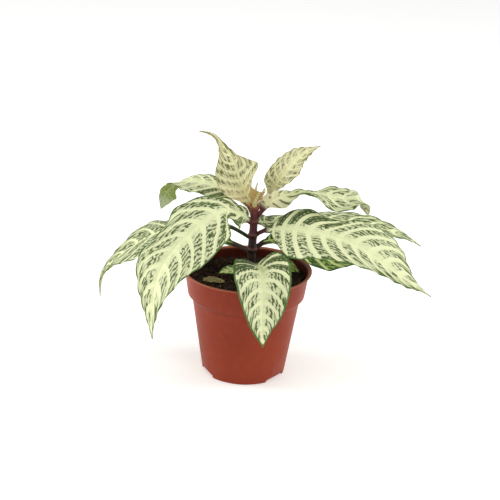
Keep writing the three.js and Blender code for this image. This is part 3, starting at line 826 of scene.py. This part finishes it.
def make_leaf(leaf, slot, upper_material, under_material):
    """A closed blade with its petiole: the upper face, the lower face and the edge round them."""
    upper, lower, reads = leaf_surface(leaf)
    rows, columns = upper.shape[:2]
    count = rows * columns
    faces = []
    for r in range(rows - 1):
        for k in range(columns - 1):
            a = r * columns + k
            faces.append((a, a + 1, a + columns + 1, a + columns))
    tops = len(faces)
    for r in range(rows - 1):
        for k in range(columns - 1):
            a = count + r * columns + k
            faces.append((a, a + columns, a + columns + 1, a + 1))
    unders = len(faces) - tops
    for r in range(rows - 1):
        for k in (0, columns - 1):
            a, b = r * columns + k, (r + 1) * columns + k
            faces.append((a, b, b + count, a + count) if k == 0 else (b, a, a + count, b + count))
    for r in (0, rows - 1):
        for k in range(columns - 1):
            a, b = r * columns + k, r * columns + k + 1
            faces.append((b, a, a + count, b + count) if r == 0 else (a, b, b + count, a + count))
    slots = [UPPER] * tops + [UNDER] * unders + [UPPER] * (len(faces) - tops - unders)
    flat_u = np.linspace(*UV_ACROSS, columns)[None, :] + np.zeros((rows, 1))
    flat_v = np.linspace(*UV_ALONG, rows)[:, None] + np.zeros((1, columns))
    uv = np.concatenate([
        np.stack([flat_u, flat_v], -1).reshape(-1, 2),
        np.stack([flat_u + UV_UNDER_SHIFT, flat_v], -1).reshape(-1, 2),
    ])
    points = np.concatenate([upper.reshape(-1, 3), lower.reshape(-1, 3)])
    attributes = {key: np.concatenate([v.reshape(-1, 3)] * 2) for key, v in reads.items()}
    blade = make_piece(leaf["name"] + "_blade", points, faces, [upper_material, under_material],
                       slots, attributes, uv, sharp=60)
    settle(blade, leaf["name"])


def leaf_base(look):
    """What both faces of a leaf read.

    u runs from -1 to 1 across the blade, blade from 0 to 1 along it, and phase counts the side
    veins. x, y and edge are millimetres on the flat leaf: from the midrib, along it and from the
    margin. here is the place for a noise, and off is 0 on a side vein and 0.5 between two.
    """
    u, phase, blade = look.parts(look.attribute("leaf"))
    x, y, edge = look.parts(look.attribute("flat"))
    here = look.vector(x, y, 0.0)
    wander = look.noise(here, 0.045) - 0.5
    at = phase + wander * 0.16
    off = abs(look.math("FRACT", at) - 0.5)
    return u, at, blade, x, y, edge, here, off


def stalk_over(look, blade, base):
    """The leaf's colour with the petiole's below the blade."""
    return look.mix(look.step(blade, 0.01, -0.07), base, look.attribute("stalk"))


def upper_look(name, vein, field, shade, speck, deep, rim_colour, blush):
    look = Look(name, Specular_IOR_Level=0.22)
    u, phase, blade, x, _, edge, here, off = leaf_base(look)
    dark, specks, rim = look.parts(look.attribute("tone"))
    tan, inner, clean = look.parts(look.attribute("base"))
    reach = abs(u)

    # Dark dashes lie across the bands between the side veins. Near the base they close up.
    jitter = look.noise(here, 0.8, 2.0, 0.6)
    rough_off = off + (jitter - 0.5) * 0.16
    band = look.step(rough_off, clean, clean + 0.1)
    outward = look.step(reach, inner - 0.3, inner + 0.12)
    blotch = look.step(look.noise(here, 0.12), 0.3, 0.56)
    from_base = blade - reach * 0.16 + (jitter - 0.5) * 0.2
    basal = look.clamp(dark * 2.5) * look.step(from_base, *BASE_MARKINGS_END)
    solid_from = 0.33 - dark * 0.14 - reach * 0.1
    solid = look.step(rough_off, solid_from, solid_from + 0.06) * basal
    streaks = abs(look.math("FRACT", phase * 3 + (jitter - 0.5) * 0.3) - 0.5)
    solid = solid * look.step(reach, 0.1, 0.48) * look.step(streaks, 0.04, 0.13)
    faded = look.clamp(tan * 1.6) * look.step(blade, *BASE_MARKINGS_END)
    cover = look.clamp(band * outward * specks * (0.6 + blotch * 0.4)) * (1 - faded * 0.7)
    drift = look.noise(here, 0.13)
    rung = abs(look.math("FRACT", x * DASHES_A_MM + drift * 3.0 + jitter * 0.4) - 0.5)
    size = look.noise(here, 0.42, 2.0, 0.7)
    extent = cover * SPECK_LENGTH + (size - 0.5) + solid * SOLID_LENGTH
    spots = look.step(extent - rung, -0.03, 0.05) * look.step(cover + solid, 0.1, 0.4)

    tint = look.noise(here, 0.35, 3.0)
    base = look.mix(look.step(off, 0.06, 0.2) * look.step(reach, 0.0, 0.4), vein, field)
    base = look.mix(band * look.step(tint, 0.3, 0.6) * (0.25 + cover * 0.6), base, shade)
    depth = look.clamp(look.step(tint, 0.3, 0.58) + solid * (dark - 0.6))
    base = look.mix(spots * 0.95, base, look.mix(depth, speck, deep))
    base = look.mix(tan * look.step(blade, 0.34, 0.02) * (1 - spots * 0.6), base, blush)
    arcs = abs(look.math("FRACT", phase * 2) - 0.5)
    ribbed = look.step(arcs, 0.2, 0.1) * look.clamp(tan * 1.6) * look.step(blade, 0.5, 0.3)
    base = look.mix(ribbed * 0.8, base, vein)
    vein_half = 0.055 - reach * 0.03
    side_vein = look.step(off, vein_half + 0.035, vein_half) * look.step(edge, 0.7, 2.6)
    base = look.mix(side_vein * 0.85, base, vein)
    midrib = look.step(abs(x), 1.5 - blade * 0.8, 0.7 - blade * 0.4)
    base = look.mix(midrib, base, vein)
    ragged = rim * (1 - faded) * (0.7 + look.noise(here, 0.5) * 0.6)
    dark_edge = look.step(edge, ragged + 0.35, ragged - 0.1) * (1 - faded)
    base = look.mix(dark_edge * 0.92, base, rim_colour)
    base = stalk_over(look, blade, base)

    fine = look.noise(here, 1.6, 3.0)
    rough = 0.44 + fine * 0.12
    height = side_vein * -0.6 + fine * 0.35 - midrib * 0.5 + look.noise(here, 0.5) * 0.6
    return look.paint(base, roughness=rough, bump=height, depth=0.00026)


def under_look(name, vein, field, shade, tail=0.0, warmth=0.0):
    look = Look(name, Specular_IOR_Level=0.3)
    u, phase, blade, x, y, _, here, off = leaf_base(look)
    reach = abs(u)
    tint = look.noise(here, 0.25, 3.0)
    net = look.cell_edges(look.vector(x, y * 0.8, 0.0), 0.45)
    base = look.mix(look.step(tint, 0.35, 0.65), field, shade)
    base = look.mix(look.step(net, 0.12, 0.02) * 0.4, base, vein)
    tan, _, _ = look.parts(look.attribute("base"))
    base = look.mix(look.clamp(tan * 1.5) * warmth, base, "#a5844d")
    side_vein = look.step(off, 0.12 - reach * 0.05, 0.05 - reach * 0.03)
    base = look.mix(side_vein * 0.85, base, vein)
    base = look.mix(look.step(abs(x), 2.2 - blade * 1.2, 1.2 - blade * 0.7), base, vein)
    base = look.mix(look.step(blade, 0.84, 0.92) * tail, base, "#d3dabb")
    arcs = abs(look.math("FRACT", phase * 2) - 0.5)
    base = look.mix(look.step(arcs, 0.34, 0.44) * look.step(tan, 0.4, 0.6) * 0.75, base, "#8a5f2c")
    base = stalk_over(look, blade, base)
    fine = look.noise(here, 1.4, 3.0)
    return look.paint(base, roughness=0.55, bump=side_vein + fine * 0.4, depth=0.00025)


LEAF_LOOKS = {
    "cream": (
        upper_look("leaf_cream_upper", vein="#e3e8b6", field="#d9dcb3", shade="#b3bc8c",
                   speck="#65783a", deep="#33461b", rim_colour="#456628", blush="#d8c49c"),
        under_look("leaf_cream_under", "#c3cf8c", "#87983f", "#9cab58", tail=0.75),
    ),
    "young": (
        upper_look("leaf_young_upper", vein="#e6e4b0", field="#d6d6ae", shade="#b7b182",
                   speck="#8f8c58", deep="#666a3a", rim_colour="#7c7a3c", blush="#cfa268"),
        under_look("leaf_young_under", "#c9c28a", "#a4a360", "#b3b072", warmth=0.85),
    ),
    "green": (
        upper_look("leaf_green_upper", vein="#dbe6a4", field="#c2d08e", shade="#8ba45c",
                   speck="#5c7a3a", deep="#2f4a20", rim_colour="#355a22", blush="#c2b488"),
        under_look("leaf_green_under", "#b9c88a", "#7f9a50", "#98ae68"),
    ),
}
LEAF_SLOTS = {"cream": "leaf_cream", "young": "leaf_young", "green": "leaf_green"}

# dark: how solid the dark bands are at the base, on the left and the right half.
# specks: how thickly the rest is speckled, on the left and the right half.
# rim: width of the dark edge in millimetres; stalk_colour: the petiole's colour.
# tan: how brown the blade's base is; inner: how far from the midrib the dashes begin.
# clean: how wide a strip stays clear beside the side veins, as a share of their spacing.
LEAF_MARKS = {
    "leaf_front": dict(dark=(0.7, 1.8), specks=(0.9, 0.9), rim=1.6, stalk_colour="#4c5a30",
                       clean=0.12),
    "leaf_right_front": dict(dark=(0.8, 0.0), specks=(0.95, 1.05), rim=0.9, stalk_colour="#4a2428",
                             clean=0.14),
    "leaf_left_front": dict(dark=(0.3, 0.2), specks=(0.9, 0.92), rim=1.0, stalk_colour="#7a3a34"),
    "leaf_left_back": dict(dark=(0.7, 0.7), specks=(1.5, 1.5), rim=1.0, stalk_colour="#2f3d22",
                           inner=0.1, clean=0.06),
    "leaf_right_back": dict(dark=(0.2, 0.2), specks=(1.5, 1.5), rim=0.9, stalk_colour="#5a2f32",
                            inner=0.1, clean=0.06),
    "leaf_lower_right": dict(dark=(1.0, 1.0), specks=(1.1, 1.1), rim=1.2, stalk_colour="#3a2226"),
    "leaf_lower_left": dict(dark=(0.8, 0.8), specks=(1.0, 1.0), rim=1.0, stalk_colour="#4a3a30"),
    "leaf_upper_left": dict(dark=(0.6, 0.4), specks=(0.55, 0.6), rim=0.8, stalk_colour="#8a6a44"),
    "leaf_upper_right": dict(dark=(0.1, 0.9), specks=(0.85, 0.85), rim=0.8, stalk_colour="#5c2c30",
                             tan=0.7),
    "leaf_crown_left": dict(dark=(0.0, 0.0), specks=(1.2, 1.2), rim=0.5, stalk_colour="#a87f4c",
                            tan=0.4, inner=0.15),
    "leaf_crown_right": dict(dark=(0.0, 0.0), specks=(0.65, 0.75), rim=0.6,
                             stalk_colour="#cfcb9c"),
    "leaf_centre_rolled": dict(dark=(0.0, 0.0), specks=(0.6, 0.6), rim=0.5, stalk_colour="#9a6236",
                               tan=0.7),
    "leaf_centre_bud": dict(dark=(0.0, 0.0), specks=(0.3, 0.3), rim=0.3, stalk_colour="#c2a878"),
    "leaf_small_left": dict(dark=(0.7, 0.7), specks=(0.8, 0.8), rim=0.7, stalk_colour="#5a5c36"),
    "leaf_small_right": dict(dark=(0.5, 0.5), specks=(0.6, 0.6), rim=0.5, stalk_colour="#5c6038"),
}

# veins: side veins on each half; petiole: how many spans of the path belong to it.
# path: points along the midrib; face: directions its upper side looks in, along the blade.
# left and right: half widths; fold and curl: how the halves rise and how they bend down.
# wave and quilt: heights of the margin's waves and of the puffs between the side veins.
# stalk: how thick the petiole is against the usual.
LEAVES = [
    dict(
        name="leaf_front", colour="cream", veins=10, petiole=2, wave=0.8,
        path=[[3, 0, 100], [5, -6, 104], [9, -12, 108], [13, -32, 113], [14, -56, 115],
          [15, -71, 108], [15, -77, 92], [15, -79, 75], [17, -79, 57]],
        face=[[0, -5, 9], [0, -8, 6], [3, -9, 2], [4, -8, 2]],
        left=[4, 23, 27, 24, 20, 12, 0], right=[6, 23, 28, 25, 19, 10, 0],
        fold=[52, 21, 10], curl=[14, 17, 10],
    ),
    dict(
        name="leaf_right_front", colour="cream", veins=12, petiole=2, wave=1.1,
        path=[[3, 0, 131], [11, -3, 138], [20, -6, 142], [44, -16, 147], [71, -26, 146],
          [97, -36, 141], [122, -44, 127], [145, -50, 113], [165, -54, 102]],
        face=[[0, -7, 7], [1, -4, 9], [3, -3, 9], [5, 1, 8]],
        left=[5, 26, 22, 35, 36, 15, 0], right=[4, 32, 36, 29, 20, 11, 0],
        fold=[10, 14, 7], curl=[30, 23, 9],
    ),
    dict(
        name="leaf_left_front", colour="cream", veins=12, petiole=1, wave=1.0,
        path=[[3, 0, 144], [-1, -3, 150], [-8, -9, 157], [-25, -22, 163], [-47, -42, 153],
          [-65, -60, 139], [-77, -74, 120], [-81, -82, 93], [-81, -84, 63]],
        face=[[-1, -7, 6], [-1, -7, 6], [-3, -8, 5], [-6, -6, 5], [-9, -3, 3]],
        left=[4, 13, 12, 8, 25, 29, 32, 33, 31, 27, 16, 8, 0],
        right=[3, 8, 12, 16, 24, 29, 23, 23, 27, 23, 18, 9, 0],
        fold=[5, 12, 18], curl=[38, 28, 6],
    ),
    dict(
        name="leaf_left_back", colour="cream", veins=11, petiole=2, wave=0.8,
        path=[[3, 0, 131], [-9, 3, 137], [-21, 8, 140], [-45, 18, 139], [-72, 26, 128],
          [-99, 32, 112], [-122, 36, 93], [-137, 38, 73], [-140, 38, 51]],
        face=[[1, -1, 10], [-3, -1, 10], [-6, -1, 8], [-9, -1, 4]],
        left=[3, 18, 20, 35, 20, 13, 0], right=[3, 16, 16, 36, 15, 9, 0],
        fold=[5, 12, 18], curl=[30, 22, 5],
    ),
    dict(
        name="leaf_right_back", colour="cream", veins=10, petiole=1, wave=0.8,
        path=[[4, 0, 146], [9, 5, 145], [18, 13, 142], [40, 27, 141], [65, 38, 139],
          [90, 46, 135], [116, 54, 128], [142, 60, 119], [166, 64, 106]],
        face=[[0, -7, 6], [-1, 0, 9], [0, -3, 9], [3, -1, 9]],
        left=[3, 12, 18, 20, 17, 11, 0], right=[3, 11, 16, 24, 22, 9, 0],
        fold=[14, 5, 14], curl=[20, 22, 6],
    ),
    dict(
        name="leaf_lower_right", colour="green", veins=9, petiole=2, wave=0.6,
        path=[[3, 0, 117], [9, 4, 122], [17, 9, 125], [34, 18, 123], [53, 26, 115],
          [75, 32, 109], [97, 34, 104], [113, 34, 99], [125, 32, 93]],
        face=[[-1, -4, 9], [0, -4, 9], [1, -1, 10], [5, 2, 8]],
        left=[3, 14, 20, 23, 19, 11, 0], right=[3, 15, 23, 27, 18, 9, 0],
        fold=[22, 5, 9], curl=[20, 22, 8],
    ),
    dict(
        name="leaf_lower_left", colour="green", veins=7, petiole=2, wave=0.6,
        path=[[3, 0, 117], [-7, 4, 121], [-17, 10, 122], [-30, 22, 120], [-43, 34, 115],
          [-56, 44, 108], [-68, 52, 100], [-77, 57, 91], [-84, 60, 81]],
        face=[[0, -2, 10], [-1, -1, 10], [-3, 1, 9], [-5, 3, 8]],
        left=[3, 11, 16, 18, 15, 8, 0], right=[3, 11, 16, 18, 15, 8, 0],
        fold=[20, 8, 6], curl=[20, 22, 10],
    ),
    dict(
        name="leaf_upper_left", colour="cream", veins=10, petiole=2, wave=0.8,
        path=[[4, 0, 148], [1, 4, 157], [-5, 9, 163], [-20, 17, 169], [-38, 23, 173],
          [-56, 27, 174], [-69, 28, 171], [-78, 25, 163], [-82, 20, 148]],
        face=[[1, -3, 9], [0, -2, 10], [-1, 0, 10], [-5, 5, 7], [-7, 7, -1]],
        left=[3, 14, 20, 22, 18, 12, 0], right=[3, 14, 18, 29, 21, 20, 0],
        fold=[20, 7, 7], curl=[20, 26, 20],
    ),
    dict(
        name="leaf_upper_right", colour="cream", veins=10, petiole=2, wave=1.1,
        path=[[4, 0, 148], [9.5, -1, 155.5], [15.5, 0, 163], [25, 3, 169], [37, 7, 172],
          [51, 11, 173], [68, 13, 171], [86, 15, 168], [101, 16, 167], [110, 16, 151]],
        face=[[1, -9, 5], [0, -8, 6], [0, -1, 10], [0, 1, 10], [0, -5, 9], [3, -1, 9], [5, 9, 1]],
        left=[9, 7.5, 6.5, 10, 17, 12, 12, 0], right=[3, 11, 10, 4, 19, 16, 13, 0],
        fold=[22, 6, 8], curl=[10, 24, 12],
    ),
    dict(
        name="leaf_crown_left", colour="young", veins=11, petiole=1, wave=0.5,
        path=[[4, 1, 158], [0, 4, 165], [-6, 8, 176], [-12, 14, 188], [-18, 20, 200],
          [-27, 26, 210], [-36, 31, 218], [-49, 36, 220]],
        face=[[-2, -9, 0], [0, -10, 2], [8, -4, 5], [5, -1, 8]],
        left=[5, 19, 21, 17, 8, 4, 0], right=[5, 10, 21, 8, 4, 3, 0],
        fold=[45, 10, 14], curl=[-10, 18, 8],
    ),
    dict(
        name="leaf_crown_right", colour="young", veins=9, petiole=2, wave=0.6,
        path=[[4.5, 0, 158], [13, 9, 165.5], [21, 16.5, 172.7], [26, 17, 182], [32, 16, 192],
          [40, 18, 200.5], [49, 20, 208], [62, 24, 214]],
        face=[[-5, -7, 4], [-6, -6, 5], [-6, -4, 7], [-6, -2, 8]],
        left=[11, 14, 15, 17, 10, 0], right=[8, 13, 17, 15, 9, 0],
        fold=[42, 14, 14], curl=[2, 19, 8],
    ),
    dict(
        name="leaf_centre_rolled", colour="young", veins=4, petiole=1, wave=0, quilt=0,
        stalk=0.6,
        path=[[4.8, -1, 160], [4.4, -4.9, 164.5], [4.9, -8.6, 169], [6.3, -10.8, 174],
          [8.4, -11.4, 179.5]],
        face=[[0, 9, 4], [-1, 9, 3], [-2, 9, 2]],
        left=[4, 11, 14, 15], right=[4, 10, 12.5, 14],
        fold=[20, 8, 2], curl=[-60, -105, -110],
    ),
    dict(
        name="leaf_centre_bud", colour="young", veins=4, petiole=1, wave=0, quilt=0, stalk=0.5,
        path=[[5.5, 1, 162], [5.6, 1.5, 167], [5.2, 2, 172], [5, 2.5, 178], [6.4, 3, 183]],
        face=[[2, -9, 3], [2, -9, 4], [2, -9, 5]],
        left=[1, 1.2, 0.8, 0], right=[1, 1.2, 0.8, 0],
        fold=[0, 0, 0], curl=[0, 0, 0],
    ),
    dict(
        name="leaf_small_left", colour="green", veins=5, petiole=1, wave=0, quilt=0.2,
        stalk=0.6,
        path=[[3, 0, 95], [-3, -2, 98], [-11, -7, 101], [-19, -12, 102], [-26, -16, 101]],
        face=[[0, -3, 10], [0, -4, 9], [-1, -4, 9]],
        left=[2, 6, 5, 0], right=[2, 6, 5, 0],
        fold=[25, 15, 10], curl=[10, 14, 10],
    ),
    dict(
        name="leaf_small_right", colour="green", veins=5, petiole=1, wave=0, quilt=0.2,
        stalk=0.6,
        path=[[3, 0, 95], [11, 3, 100], [22, 7, 104], [33, 10, 103], [42, 11, 99], [49, 12, 94]],
        face=[[0, -3, 10], [1, -4, 9], [3, -5, 8]],
        left=[2, 7, 10, 6, 0], right=[2, 7, 10, 6, 0],
        fold=[22, 12, 8], curl=[12, 16, 10],
    ),
]


# ---- floor and scene ----------------------------------------------------------------------

FLOOR_REACH = 9000
FLOOR_CORNERS = ((-1, -1), (1, -1), (1, 1), (-1, 1))
FLOOR_GLOW = 0.3


def make_floor():
    look = Look("floor_pale", Specular_IOR_Level=0.0, Emission_Strength=FLOOR_GLOW)
    look.shader.inputs["Emission Color"].default_value = (1.0, 1.0, 1.0, 1.0)
    tone = look.noise(look.place(), 2.0)
    floor_look = look.paint(look.mix(tone, "#f6f6f4", "#fafaf9"), roughness=0.9)
    corners = [(x * FLOOR_REACH, y * FLOOR_REACH, 0) for x, y in FLOOR_CORNERS]
    floor = make_piece("floor", corners, [(0, 1, 2, 3)], [floor_look])


make_camera()
make_light()
make_floor()
make_pot()
make_soil()
make_stem()
make_chip()
for number, leaf in enumerate(LEAVES):
    leaf.update(LEAF_MARKS[leaf["name"]], seed=number + 1)
    make_leaf(leaf, LEAF_SLOTS[leaf["colour"]], *LEAF_LOOKS[leaf["colour"]])
